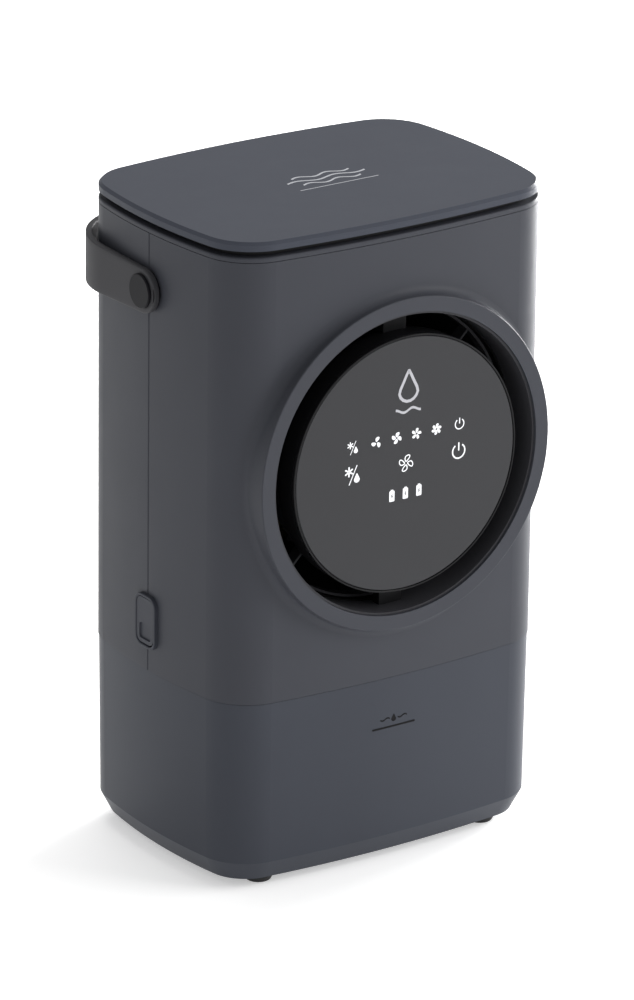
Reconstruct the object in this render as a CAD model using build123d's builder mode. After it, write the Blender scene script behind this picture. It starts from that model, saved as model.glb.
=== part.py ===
from build123d import *
import os

# Portable battery-powered evaporative air cooler: a water tank at the bottom carries a
# lift-off housing with a fan, a wick pad, a round air outlet around a touch display,
# a lift-off lid and a carry strap. Millimetres, +Z up, outlet facing -Y, X is the symmetry
# direction. The origin lies on the standing surface, under the middle of the whole object.

# ---- overall heights, measured from a datum level just above the tank's underside ----
FOOT_DROP = 4.9
TANK_BASE = -4.3
FOOT_HEIGHT = FOOT_DROP - TANK_BASE
TANK_TOP = 91.2
CASE_BASE = 91.5
CASE_TOP = 319.6
COLLAR_BASE = 319.9
COLLAR_TOP = 322.3
LID_BASE = 325.5
LID_TOP = 330.0

# ---- plan outline: four bowed sides that would meet at CORNER_X, CORNER_Y ----
HALF_WIDTH = 99.85
HALF_DEPTH = 73.2
CORNER_X = 92.5
CORNER_Y = 66.8
CORNER_RADIUS = 27.2
# how far a corner of the outline moves in X and Y for each millimetre of inset
INSET_SHIFT_X = 0.825
INSET_SHIFT_Y = 0.895
WALL = 2.4
SEAM = 0.15
SEAM_GROOVE = 0.8

# ---- round outlet and display on the front ----
OUTLET_Z = 204.7
RING_FRONT = -78.6
RING_RADIUS = 85.9
RING_BORE = 78.1
RING_BLEND = 4.8
DISPLAY_FRONT = -77.2
POD_RADIUS = 66.4

# ---- carry strap, a bail that lies level behind the case at rest ----
PIVOT_Z = 291.0
PIN_RADIUS = 4.0
STRAP_INNER_X = 100.85
STRAP_THICKNESS = 3.4
STRAP_INNER_REACH = 83.4
STRAP_SHOULDER_REACH = 77.0
STRAP_CORNER = 34.0
STRAP_END_RADIUS = 11.3
STRAP_HALF_GRIP = 12.9

# ---- side latches that hold the housing on the tank ----
LATCH_Z = 117.9
LATCH_WIDTH = 18.0
LATCH_HEIGHT = 28.0
LATCH_RIM = 1.5
LATCH_PROUD = 2.1
LATCH_GAP = 0.3
LATCH_PIN_X = 98.6
LATCH_PIN_Z = 126.0

# ---- fan ----
ROTOR_RADIUS = 61.5
HUB_RADIUS = 20.0
SHAFT_RADIUS = 1.5
BLADE_COUNT = 7
BLADE_PITCH = 38.0
BLADE_CHORD = 24.0
BLADE_CAMBER = 3.0
BLADE_THICKNESS = 1.6
SHROUD_RADIUS = 64.0

# ---- case screws ----
SCREW_X = 76.0
SCREW_LOW_Z = 112.0
SCREW_HIGH_Z = 304.0
SCREW_SEAT = 12.0
SCREW_RADIUS = 1.5
SCREW_CLEARANCE = 1.7
SCREW_BITE = 10.0

# The strap reaches further back than the outlet ring reaches forward, so the case stands
# this far off the middle of the whole object.
MID_Y = (-RING_FRONT - (STRAP_INNER_REACH + STRAP_THICKNESS)) / 2


def level(height):
    """Horizontal plane at a height above the datum level, on the case axis."""
    return Plane(origin=(0, MID_Y, FOOT_HEIGHT + height))


def facing(depth, height=OUTLET_Z, across=0.0):
    """Upright plane that looks out of the front: local x is +X, local y is +Z."""
    place = (across, MID_Y + depth, FOOT_HEIGHT + height)
    return Plane(origin=place, x_dir=(1, 0, 0), z_dir=(0, -1, 0))


def sideways(across, height, depth=0.0):
    """Upright plane that looks along +X: local x is +Y, local y is +Z."""
    place = (across, MID_Y + depth, FOOT_HEIGHT + height)
    return Plane(origin=place, x_dir=(0, 1, 0), z_dir=(1, 0, 0))


def section(depth=0.0):
    """Upright plane through the case that looks along -Y, with height from the datum level."""
    return facing(depth, height=0.0)


def case_outline(height, inset=0.0):
    """Plan outline of the case at a height, drawn in by an inset."""
    width, depth = HALF_WIDTH - inset, HALF_DEPTH - inset
    x = CORNER_X - INSET_SHIFT_X * inset
    y = CORNER_Y - INSET_SHIFT_Y * inset
    with BuildSketch(level(height)) as outline:
        with BuildLine():
            ThreePointArc((-x, -y), (0, -depth), (x, -y))
            ThreePointArc((x, -y), (width, 0), (x, y))
            ThreePointArc((x, y), (0, depth), (-x, y))
            ThreePointArc((-x, y), (-width, 0), (-x, -y))
        make_face()
        fillet(outline.vertices(), radius=CORNER_RADIUS - inset)
    return outline.sketch


def case_ring(height, outer_inset, inner_inset):
    """Band between two insets of the case outline."""
    return case_outline(height, outer_inset) - case_outline(height, inner_inset)


def finish(piece, label):
    """Names a finished piece and writes it."""
    piece.part.label = label
    export_step(piece.part, f"parts/{label}.step")


os.makedirs("parts", exist_ok=True)

# ======================= tank =======================
TANK_TOP_INSET = 0.4
TANK_LOW_INSET = 1.2
TANK_CHAMFER_INSET = 5.4
TANK_CHAMFER_HEIGHT = 10.4
TANK_WALL = 2.6
TANK_FLOOR = 3.0
LIP_OUTER_INSET = 4.2
LIP_INNER_INSET = 6.2
LIP_BASE = 86.0
LIP_TOP = 99.0
NOTCH_REACH = 96.4
NOTCH_WIDTH = 8.4
NOTCH_BASE = 93.4
FOOT_X = 68.0
FOOT_Y = 52.3
FOOT_TOP_RADIUS = 8.5
FOOT_TAPER = 24
FOOT_ROUND = 1.2
SPIGOT_RADIUS = 3.0
SPIGOT_HEIGHT = 1.2


def tank_form(base, top, wall):
    """Drafted tank with a steep chamfer round its bottom, drawn in by a wall thickness."""
    bend = TANK_BASE + TANK_CHAMFER_HEIGHT
    foot_inset = TANK_LOW_INSET + TANK_CHAMFER_INSET + wall
    with BuildPart() as form:
        for low, low_inset, high, high_inset in (
            (base, foot_inset, bend, TANK_LOW_INSET + wall),
            (bend, TANK_LOW_INSET + wall, top, TANK_TOP_INSET + wall),
        ):
            loft([case_outline(low, low_inset), case_outline(high, high_inset)], ruled=True)
    return form.part


with BuildPart() as water_tank:
    add(tank_form(TANK_BASE, TANK_TOP, 0))
    extrude(case_outline(TANK_TOP, LIP_OUTER_INSET), amount=LIP_TOP - TANK_TOP)
    add(tank_form(TANK_BASE + TANK_FLOOR, LIP_BASE, TANK_WALL), mode=Mode.SUBTRACT)
    extrude(
        case_outline(LIP_BASE, LIP_INNER_INSET), amount=LIP_TOP - LIP_BASE, mode=Mode.SUBTRACT
    )
    # open notches in the lip where the latch noses sit
    with BuildSketch(level(NOTCH_BASE)):
        Rectangle(2 * NOTCH_REACH, NOTCH_WIDTH)
    extrude(amount=LIP_TOP - NOTCH_BASE, mode=Mode.SUBTRACT)
    # sockets for the feet
    with BuildSketch(level(TANK_BASE)):
        with GridLocations(2 * FOOT_X, 2 * FOOT_Y, 2, 2):
            Circle(SPIGOT_RADIUS)
    extrude(amount=SPIGOT_HEIGHT, mode=Mode.SUBTRACT)
finish(water_tank, "water_tank")

with BuildPart() as rubber_feet:
    with BuildSketch(level(TANK_BASE)):
        with GridLocations(2 * FOOT_X, 2 * FOOT_Y, 2, 2):
            Circle(FOOT_TOP_RADIUS)
    extrude(amount=-FOOT_DROP, taper=FOOT_TAPER)
    fillet(rubber_feet.edges().group_by(Axis.Z)[0], radius=FOOT_ROUND)
    with BuildSketch(level(TANK_BASE)):
        with GridLocations(2 * FOOT_X, 2 * FOOT_Y, 2, 2):
            Circle(SPIGOT_RADIUS)
    extrude(amount=SPIGOT_HEIGHT)
finish(rubber_feet, "rubber_feet")

with BuildPart() as tank_seal:
    extrude(case_ring(TANK_TOP, LIP_OUTER_INSET - 1.3, LIP_OUTER_INSET), amount=2.0)
finish(tank_seal, "tank_seal")

# ======================= housing shells =======================
PIN_HOLE = PIN_RADIUS + 0.05
PIN_BOSS_RADIUS = 8.0
PIN_BOSS_DEPTH = 9.0
FRONT_BOSS_RADIUS = 5.0
REAR_BOSS_RADIUS = 5.8
WELL_RADIUS = 3.8
GRILLE_WIDTH = 120.0
GRILLE_HEIGHT = 150.0
GRILLE_CORNER = 10.0
GRILLE_GAP = 0.3
PORT_X = 40.0
PORT_Z = 107.5
PORT_RADIUS = 5.5
WINDOW_GAP = 0.1
WINDOW_CORNER = 5.6
BOSS_LENGTH = HALF_DEPTH - 8
PILOT_DEPTH = SCREW_BITE + 2
REAR_CUT_FROM = HALF_DEPTH - 12
REAR_CUT_DEPTH = 14.0
RING_EDGE = 0.7
EDGE_TOLERANCE = 0.05

screw_heights = (SCREW_LOW_Z, SCREW_HIGH_Z)


def screw_row():
    """The four case screw places, for a sketch whose plane starts at the tank's underside."""
    return [(side * SCREW_X, height) for side in (-1, 1) for height in screw_heights]


with BuildPart() as case_interior:
    extrude(case_outline(CASE_BASE - 1, WALL), amount=CASE_TOP - CASE_BASE + 2)

with BuildPart() as case_shell:
    extrude(case_outline(CASE_BASE), amount=CASE_TOP - CASE_BASE)
    with BuildSketch(facing(-HALF_DEPTH / 2)):
        Circle(RING_RADIUS)
    extrude(amount=-RING_FRONT - HALF_DEPTH / 2)
    # the ring wall runs into the front in a soft blend
    ring_foot = [
        edge
        for edge in case_shell.edges()
        if abs(
            ((edge @ 0.5).X ** 2 + ((edge @ 0.5).Z - FOOT_HEIGHT - OUTLET_Z) ** 2) ** 0.5
            - RING_RADIUS
        )
        < EDGE_TOLERANCE
        and (edge @ 0.5).Y > MID_Y + RING_FRONT + 1
    ]
    fillet(ring_foot, radius=RING_BLEND)
    fillet(case_shell.edges().filter_by(GeomType.CIRCLE).sort_by(Axis.Y)[0], radius=RING_EDGE)
    add(case_interior.part, mode=Mode.SUBTRACT)
    with BuildSketch(facing(-HALF_DEPTH / 2)):
        Circle(RING_BORE)
    extrude(amount=-RING_FRONT, mode=Mode.SUBTRACT)
    # bosses for the strap pins, halved by the seam
    for side in (-1, 1):
        with BuildSketch(sideways(side * (HALF_WIDTH - 1), PIVOT_Z)):
            Circle(PIN_BOSS_RADIUS)
        extrude(amount=-side * PIN_BOSS_DEPTH)
    with BuildSketch(sideways(-HALF_WIDTH - 1, PIVOT_Z)):
        Circle(PIN_HOLE)
    extrude(amount=2 * HALF_WIDTH + 2, mode=Mode.SUBTRACT)
    # windows for the latch frames, halved by the seam
    with BuildSketch(sideways(-HALF_WIDTH - 1, LATCH_Z)):
        RectangleRounded(LATCH_WIDTH + 2 * WINDOW_GAP, LATCH_HEIGHT + 2 * WINDOW_GAP, WINDOW_CORNER)
    extrude(amount=2 * HALF_WIDTH + 2, mode=Mode.SUBTRACT)

    # shallow V groove down each side where the two shells meet
    with BuildSketch(level(CASE_BASE)):
        with GridLocations(2 * HALF_WIDTH, 0, 2, 1):
            Rectangle(SEAM_GROOVE, SEAM_GROOVE, rotation=45)
    extrude(amount=CASE_TOP - CASE_BASE, mode=Mode.SUBTRACT)

with BuildPart() as front_shell:
    add(case_shell.part)
    split(bisect_by=facing(-SEAM), keep=Keep.TOP)
    with BuildSketch(section(-SEAM)):
        with Locations(screw_row()):
            Circle(FRONT_BOSS_RADIUS)
    extrude(amount=BOSS_LENGTH)
    with BuildSketch(section(-SEAM)):
        with Locations(screw_row()):
            Circle(SCREW_RADIUS)
    extrude(amount=PILOT_DEPTH, mode=Mode.SUBTRACT)
finish(front_shell, "front_shell")

with BuildPart() as rear_shell:
    add(case_shell.part)
    split(bisect_by=facing(SEAM), keep=Keep.BOTTOM)
    with BuildSketch(section(SEAM)):
        with Locations(screw_row()):
            Circle(REAR_BOSS_RADIUS)
    extrude(amount=-BOSS_LENGTH)
    with BuildSketch(section(SCREW_SEAT)):
        with Locations(screw_row()):
            Circle(WELL_RADIUS)
    extrude(amount=-HALF_DEPTH, mode=Mode.SUBTRACT)
    with BuildSketch(section(SEAM)):
        with Locations(screw_row()):
            Circle(SCREW_CLEARANCE)
    extrude(amount=-SCREW_SEAT, mode=Mode.SUBTRACT)
    # opening for the intake grille and hole for the charging socket
    with BuildSketch(facing(REAR_CUT_FROM)):
        RectangleRounded(GRILLE_WIDTH, GRILLE_HEIGHT, GRILLE_CORNER)
    extrude(amount=-REAR_CUT_DEPTH, mode=Mode.SUBTRACT)
    with BuildSketch(facing(REAR_CUT_FROM, PORT_Z, PORT_X)):
        Circle(PORT_RADIUS)
    extrude(amount=-REAR_CUT_DEPTH, mode=Mode.SUBTRACT)
finish(rear_shell, "rear_shell")

HEAD_RADIUS = 3.2
HEAD_HEIGHT = 2.4
CROSS_LENGTH = 3.4
CROSS_WIDTH = 0.7
CROSS_DEPTH = 1.1

with BuildPart() as shell_screws:
    with BuildSketch(section(SCREW_SEAT)):
        with Locations(screw_row()):
            Circle(HEAD_RADIUS)
    extrude(amount=-HEAD_HEIGHT)
    with BuildSketch(section(SCREW_SEAT)):
        with Locations(screw_row()):
            Circle(SCREW_RADIUS)
    extrude(amount=SCREW_SEAT + SCREW_BITE)
    with BuildSketch(section(SCREW_SEAT + HEAD_HEIGHT)):
        with Locations(screw_row()):
            Rectangle(CROSS_LENGTH, CROSS_WIDTH)
            Rectangle(CROSS_WIDTH, CROSS_LENGTH)
    extrude(amount=CROSS_DEPTH, mode=Mode.SUBTRACT)
finish(shell_screws, "shell_screws")

# ======================= intake at the back =======================
SLOT_LENGTH = 50.0
SLOT_HEIGHT = 3.6
SLOT_PITCH = 7.4
SLOT_ROWS = 19
SLOT_COLUMN_GAP = 6.0
FILTER_WIDTH = 126.0
FILTER_HEIGHT = 164.0
FILTER_FRONT = 62.2
FILTER_THICKNESS = 1.6

with BuildPart() as rear_grille:
    extrude(case_ring(OUTLET_Z - GRILLE_HEIGHT / 2, 0, WALL), amount=GRILLE_HEIGHT)
    with BuildSketch(facing(HALF_DEPTH / 2)):
        RectangleRounded(
            GRILLE_WIDTH - 2 * GRILLE_GAP, GRILLE_HEIGHT - 2 * GRILLE_GAP, GRILLE_CORNER - GRILLE_GAP
        )
    extrude(amount=-HALF_DEPTH, mode=Mode.INTERSECT)
    with BuildSketch(facing(HALF_DEPTH / 2)):
        with GridLocations(SLOT_LENGTH + SLOT_COLUMN_GAP, SLOT_PITCH, 2, SLOT_ROWS):
            SlotOverall(SLOT_LENGTH, SLOT_HEIGHT)
    extrude(amount=-HALF_DEPTH, mode=Mode.SUBTRACT)
finish(rear_grille, "rear_grille")

with BuildPart() as dust_filter:
    with BuildSketch(facing(FILTER_FRONT)):
        RectangleRounded(FILTER_WIDTH, FILTER_HEIGHT, 6)
    extrude(amount=-FILTER_THICKNESS)
finish(dust_filter, "dust_filter")

# ======================= wick pad and water feed =======================
PAD_FRONT = 31.0
PAD_BACK = 59.0
PAD_WIDTH = 132.0
PAD_BASE = 122.0
PAD_TOP = 296.0
PAD_WALL = 2.5
TRAY_FLOOR = 298.0
TRAY_TOP = 309.0

with BuildPart() as pad_frame:
    with BuildSketch(facing(PAD_FRONT, (PAD_BASE + PAD_TOP) / 2)):
        RectangleRounded(PAD_WIDTH, PAD_TOP - PAD_BASE, 5)
        RectangleRounded(
            PAD_WIDTH - 2 * PAD_WALL, PAD_TOP - PAD_BASE - 2 * PAD_WALL, 3, mode=Mode.SUBTRACT
        )
    extrude(amount=-(PAD_BACK - PAD_FRONT))
    # two cross bars at each face hold the pad in
    for depth in (PAD_FRONT, PAD_BACK - 2):
        with BuildSketch(facing(depth, (PAD_BASE + PAD_TOP) / 2)):
            with GridLocations(0, 56, 1, 2):
                Rectangle(PAD_WIDTH - PAD_WALL, 3)
        extrude(amount=-2)
finish(pad_frame, "pad_frame")

with BuildPart() as wick_pad:
    with BuildSketch(facing(PAD_FRONT + 2.2, (PAD_BASE + PAD_TOP) / 2)):
        RectangleRounded(
            PAD_WIDTH - 2 * PAD_WALL - 0.6, PAD_TOP - PAD_BASE - 2 * PAD_WALL - 0.6, 2.7
        )
    extrude(amount=-(PAD_BACK - PAD_FRONT - 4.4))
finish(wick_pad, "wick_pad")

with BuildPart() as drip_tray:
    with BuildSketch(level(TRAY_FLOOR)):
        with Locations((0, (PAD_FRONT + PAD_BACK) / 2)):
            RectangleRounded(PAD_WIDTH, PAD_BACK - PAD_FRONT, 4)
    extrude(amount=TRAY_TOP - TRAY_FLOOR)
    with BuildSketch(level(TRAY_FLOOR + 2)):
        with Locations((0, (PAD_FRONT + PAD_BACK) / 2)):
            RectangleRounded(PAD_WIDTH - 4, PAD_BACK - PAD_FRONT - 4, 2)
    extrude(amount=TRAY_TOP - TRAY_FLOOR, mode=Mode.SUBTRACT)
    # drip holes over the pad
    with BuildSketch(level(TRAY_FLOOR)):
        with Locations((0, (PAD_FRONT + PAD_BACK) / 2)):
            with GridLocations(12, 10, 9, 2):
                Circle(1.2)
    extrude(amount=3, mode=Mode.SUBTRACT)
finish(drip_tray, "drip_tray")

RISER_X = -86.0
RISER_Y = 18.0
RISER_RADIUS = 3.0
PUMP_TOP = 36.0
FLOOR_BASE = 99.5
FLOOR_TOP = 102.0
SPOUT_Z = 313.5

riser_path = FilletPolyline(
    (RISER_X, MID_Y + RISER_Y, FOOT_HEIGHT + PUMP_TOP + 4),
    (RISER_X, MID_Y + RISER_Y, FOOT_HEIGHT + SPOUT_Z),
    (RISER_X, MID_Y + 45, FOOT_HEIGHT + SPOUT_Z),
    (-58, MID_Y + 45, FOOT_HEIGHT + SPOUT_Z),
    (-58, MID_Y + 45, FOOT_HEIGHT + TRAY_TOP - 5),
    radius=[7, 8, 4],
)
with BuildPart() as riser_tube:
    with BuildSketch(level(PUMP_TOP + 4)):
        with Locations((RISER_X, RISER_Y)):
            Circle(RISER_RADIUS)
            Circle(RISER_RADIUS - 1, mode=Mode.SUBTRACT)
    sweep(path=riser_path)
finish(riser_tube, "riser_tube")

with BuildPart() as water_pump:
    with BuildSketch(level(8)):
        with Locations((-75, RISER_Y)):
            RectangleRounded(30, 34, 4)
    extrude(amount=PUMP_TOP - 8)
    fillet(water_pump.edges().group_by(Axis.Z)[-1], radius=2)
    with BuildSketch(level(PUMP_TOP)):
        with Locations((RISER_X, RISER_Y)):
            Circle(RISER_RADIUS)
    extrude(amount=4)
    # stem that hangs the pump from the housing floor
    with BuildSketch(level(PUMP_TOP)):
        with Locations((-68, RISER_Y)):
            RectangleRounded(8, 12, 2)
    extrude(amount=FLOOR_BASE - PUMP_TOP)
    # suction slots low in the inner side
    with BuildSketch(sideways(-61.5, 15, RISER_Y)):
        with GridLocations(5, 0, 5, 1):
            Rectangle(2, 9)
    extrude(amount=3, mode=Mode.SUBTRACT)
finish(water_pump, "water_pump")

# ======================= housing floor and electrics =======================
with BuildPart() as housing_floor:
    extrude(case_outline(FLOOR_BASE, WALL + 0.1), amount=FLOOR_TOP - FLOOR_BASE)
    with BuildSketch(level(FLOOR_BASE)):
        with Locations((RISER_X, RISER_Y)):
            Circle(RISER_RADIUS + 0.4)
        for side in (-1, 1):
            with Locations((side * 91, 0)):
                Rectangle(12.4, 9)
    extrude(amount=FLOOR_TOP - FLOOR_BASE, mode=Mode.SUBTRACT)
    # ribs that stiffen the floor
    with BuildSketch(level(FLOOR_TOP)):
        with Locations((0, 26), (0, 52)):
            Rectangle(120, 2)
    extrude(amount=3)
finish(housing_floor, "housing_floor")

CELL_RADIUS = 9.1
CELL_LENGTH = 66.0
CELL_Y = (-55.0, -36.6)

with BuildPart() as battery_tray:
    with BuildSketch(level(FLOOR_TOP)):
        with Locations((0, sum(CELL_Y) / 2)):
            RectangleRounded(CELL_LENGTH + 8, 40.6, 3)
    extrude(amount=9)
    with BuildSketch(level(FLOOR_TOP + 1.6)):
        with Locations((0, sum(CELL_Y) / 2)):
            RectangleRounded(CELL_LENGTH + 4, 37.0, 1.5)
    extrude(amount=9, mode=Mode.SUBTRACT)
finish(battery_tray, "battery_tray")

with BuildPart() as battery_cells:
    for cell_y in CELL_Y:
        with BuildSketch(sideways(-CELL_LENGTH / 2, FLOOR_TOP + 1.6 + CELL_RADIUS, cell_y)):
            Circle(CELL_RADIUS)
        extrude(amount=CELL_LENGTH)
finish(battery_cells, "battery_cells")

with BuildPart() as control_board:
    with BuildSketch(level(FLOOR_TOP)):
        with GridLocations(70, 28, 2, 2):
            Circle(2.2)
    extrude(amount=4)
    with BuildSketch(level(FLOOR_TOP + 4)):
        RectangleRounded(80, 36, 2)
    extrude(amount=1.6)
    with BuildSketch(level(FLOOR_TOP + 5.6)):
        with Locations((-24, 2)):
            Rectangle(12, 12)
        with Locations((4, -4)):
            Rectangle(18, 9)
    extrude(amount=2.2)
    with BuildSketch(level(FLOOR_TOP + 5.6)):
        with Locations((26, 6), (26, -8)):
            Circle(4)
    extrude(amount=9)
finish(control_board, "control_board")

with BuildPart() as charge_port:
    with BuildSketch(facing(58, PORT_Z, PORT_X)):
        Circle(PORT_RADIUS - 0.1)
    extrude(amount=-13.6)
    with BuildSketch(facing(58, PORT_Z, PORT_X)):
        Rectangle(16, 9)
    extrude(amount=4.5)
    with BuildSketch(facing(62, PORT_Z, PORT_X)):
        Circle(2.9)
        Circle(1.0, mode=Mode.SUBTRACT)
    extrude(amount=-12, mode=Mode.SUBTRACT)
finish(charge_port, "charge_port")

# ======================= fan =======================
FLANGE_FRONT = -1.0
MOTOR_FRONT = 5.0
MOTOR_BACK = 27.0
MOTOR_RADIUS = 17.0
FLANGE_SIZE = 150.0
MOUNT_RING = 21.0

with BuildPart() as fan_shroud:
    with BuildSketch(facing(FLANGE_FRONT)):
        RectangleRounded(FLANGE_SIZE, FLANGE_SIZE, 12)
        Circle(SHROUD_RADIUS, mode=Mode.SUBTRACT)
        with GridLocations(134, 134, 2, 2):
            Circle(SCREW_CLEARANCE, mode=Mode.SUBTRACT)
    extrude(amount=-3)
    with BuildSketch(facing(FLANGE_FRONT)):
        Circle(SHROUD_RADIUS + 2)
        Circle(SHROUD_RADIUS, mode=Mode.SUBTRACT)
    extrude(amount=21)
finish(fan_shroud, "fan_shroud")

with BuildPart() as motor_mount:
    with BuildSketch(facing(MOTOR_FRONT)):
        RectangleRounded(FLANGE_SIZE - 4, FLANGE_SIZE - 4, 10)
        Circle(SHROUD_RADIUS, mode=Mode.SUBTRACT)
        with PolarLocations(0, 4, 45):
            with Locations((SHROUD_RADIUS / 2 + 2, 0)):
                Rectangle(SHROUD_RADIUS + 8, 6)
        Circle(MOUNT_RING)
        Circle(SHAFT_RADIUS + 3, mode=Mode.SUBTRACT)
        with PolarLocations(12, 4):
            Circle(SCREW_CLEARANCE, mode=Mode.SUBTRACT)
        with GridLocations(134, 134, 2, 2):
            Circle(SCREW_CLEARANCE, mode=Mode.SUBTRACT)
    extrude(amount=3)
finish(motor_mount, "motor_mount")

with BuildPart() as fan_motor:
    with BuildSketch(facing(MOTOR_FRONT)):
        Circle(MOTOR_RADIUS)
    extrude(amount=-(MOTOR_BACK - MOTOR_FRONT))
    chamfer(fan_motor.edges().filter_by(GeomType.CIRCLE), length=1.2)
    with BuildSketch(facing(MOTOR_BACK)):
        Circle(5)
    extrude(amount=-2)
    with BuildSketch(facing(MOTOR_FRONT - 1)):
        Circle(SHAFT_RADIUS + 0.05)
    extrude(amount=-(MOTOR_BACK - MOTOR_FRONT), mode=Mode.SUBTRACT)
    with BuildSketch(facing(MOTOR_FRONT)):
        with PolarLocations(12, 4):
            Circle(SCREW_RADIUS)
    extrude(amount=-5, mode=Mode.SUBTRACT)
finish(fan_motor, "fan_motor")

with BuildPart() as motor_screws:
    with BuildSketch(facing(MOTOR_FRONT - 3)):
        with PolarLocations(12, 4):
            Circle(2.6)
    extrude(amount=1.6)
    with BuildSketch(facing(MOTOR_FRONT - 3)):
        with PolarLocations(12, 4):
            Circle(SCREW_RADIUS)
    extrude(amount=-8)
finish(motor_screws, "motor_screws")

with BuildPart() as shroud_screws:
    with BuildSketch(facing(MOTOR_FRONT)):
        with GridLocations(134, 134, 2, 2):
            Circle(3.0)
    extrude(amount=-2)
    with BuildSketch(facing(MOTOR_FRONT)):
        with GridLocations(134, 134, 2, 2):
            Circle(SCREW_RADIUS)
    extrude(amount=8)
finish(shroud_screws, "shroud_screws")

ROTOR_BACK = -4.0
ROTOR_FRONT = -20.0

with BuildPart() as motor_shaft:
    with BuildSketch(facing(MOTOR_BACK - 2)):
        Circle(SHAFT_RADIUS)
    extrude(amount=MOTOR_BACK - 2 - ROTOR_FRONT + 3)
finish(motor_shaft, "motor_shaft")

with BuildPart() as fan_rotor:
    with BuildSketch(facing(ROTOR_BACK)):
        Circle(HUB_RADIUS)
    extrude(amount=ROTOR_BACK - ROTOR_FRONT)
    fillet(fan_rotor.edges().filter_by(GeomType.CIRCLE).sort_by(Axis.Y)[0], radius=4)
    for blade in range(BLADE_COUNT):
        turn = Rotation(0, 0, blade * 360 / BLADE_COUNT)
        middle = facing((ROTOR_BACK + ROTOR_FRONT) / 2)
        root = middle.location * turn * Location((HUB_RADIUS - 3, 0, 0), (0, 90, 0))
        with BuildSketch(Plane(root)):
            with Locations(Rotation(0, 0, BLADE_PITCH)):
                with BuildLine():
                    ThreePointArc(
                        (0, -BLADE_CHORD / 2), (BLADE_CAMBER, 0), (0, BLADE_CHORD / 2)
                    )
                    Line((0, BLADE_CHORD / 2), (BLADE_THICKNESS, BLADE_CHORD / 2))
                    ThreePointArc(
                        (BLADE_THICKNESS, BLADE_CHORD / 2),
                        (BLADE_CAMBER + BLADE_THICKNESS, 0),
                        (BLADE_THICKNESS, -BLADE_CHORD / 2),
                    )
                    Line((BLADE_THICKNESS, -BLADE_CHORD / 2), (0, -BLADE_CHORD / 2))
                make_face()
        extrude(amount=ROTOR_RADIUS)
    with BuildSketch(facing(ROTOR_BACK + 6)):
        Circle(ROTOR_RADIUS)
    extrude(amount=40, mode=Mode.INTERSECT)
    # hollow hub behind its face, and the bore for the shaft
    with BuildSketch(facing(ROTOR_BACK + 6)):
        Circle(HUB_RADIUS - 2.5)
        Circle(5, mode=Mode.SUBTRACT)
    extrude(amount=6 + ROTOR_BACK - ROTOR_FRONT - 5, mode=Mode.SUBTRACT)
    with BuildSketch(facing(ROTOR_BACK + 6)):
        Circle(SHAFT_RADIUS)
    extrude(amount=40, mode=Mode.SUBTRACT)
finish(fan_rotor, "fan_rotor")

with BuildPart() as rotor_cap:
    with BuildSketch(facing(ROTOR_FRONT)):
        Circle(7)
    extrude(amount=5)
    fillet(rotor_cap.edges().filter_by(GeomType.CIRCLE).sort_by(Axis.Y)[0], radius=2.5)
    with BuildSketch(facing(ROTOR_FRONT)):
        Circle(SHAFT_RADIUS)
    extrude(amount=3, mode=Mode.SUBTRACT)
finish(rotor_cap, "rotor_cap")

# ======================= air outlet =======================
LINER_FRONT = -77.1
LINER_BACK = -58.0
DUCT_STRAIGHT = -46.0
DUCT_NARROW = -22.0
DUCT_RADIUS = 76.0
DUCT_WALL = 2.0
VANE_COUNT = 8
VANE_FRONT = -54.0
VANE_BACK = -47.0
VANE_THICKNESS = 1.2
VANE_RING_OUTER = DUCT_RADIUS - 0.1
VANE_RING_INNER = 61.0
VANE_RING_WALL = 1.3

with BuildPart() as outlet_liner:
    with BuildSketch(facing(LINER_BACK)):
        Circle(RING_BORE - 0.1)
        Circle(RING_BORE - 1.3, mode=Mode.SUBTRACT)
    extrude(amount=LINER_BACK - LINER_FRONT)
finish(outlet_liner, "outlet_liner")

with BuildPart() as outlet_duct:
    with BuildSketch(level(OUTLET_Z)):
        with BuildLine():
            Polyline(
                (DUCT_RADIUS, LINER_BACK),
                (DUCT_RADIUS + DUCT_WALL, LINER_BACK),
                (DUCT_RADIUS + DUCT_WALL, DUCT_STRAIGHT),
                (SHROUD_RADIUS + DUCT_WALL, DUCT_NARROW),
                (SHROUD_RADIUS, DUCT_NARROW),
                (DUCT_RADIUS, DUCT_STRAIGHT),
                close=True,
            )
        make_face()
    revolve(axis=Axis((0, MID_Y, FOOT_HEIGHT + OUTLET_Z), (0, 1, 0)))
finish(outlet_duct, "outlet_duct")

with BuildPart() as guide_vanes:
    with BuildSketch(facing(VANE_BACK)):
        Circle(VANE_RING_OUTER)
        Circle(VANE_RING_OUTER - VANE_RING_WALL, mode=Mode.SUBTRACT)
        with PolarLocations((VANE_RING_OUTER + VANE_RING_INNER) / 2 - VANE_RING_WALL / 2, VANE_COUNT):
            Rectangle(VANE_RING_OUTER - VANE_RING_INNER, VANE_THICKNESS)
        Circle(VANE_RING_INNER)
        Circle(VANE_RING_INNER - VANE_RING_WALL, mode=Mode.SUBTRACT)
    extrude(amount=VANE_BACK - VANE_FRONT)
finish(guide_vanes, "guide_vanes")

# ======================= display pod =======================
POD_RIM = -75.2
POD_BACK = -60.0
POD_OUTER = 66.0
POD_INNER = 64.0
STRUT_WIDTH = 13.5
STRUT_FRONT = -66.0

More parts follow.
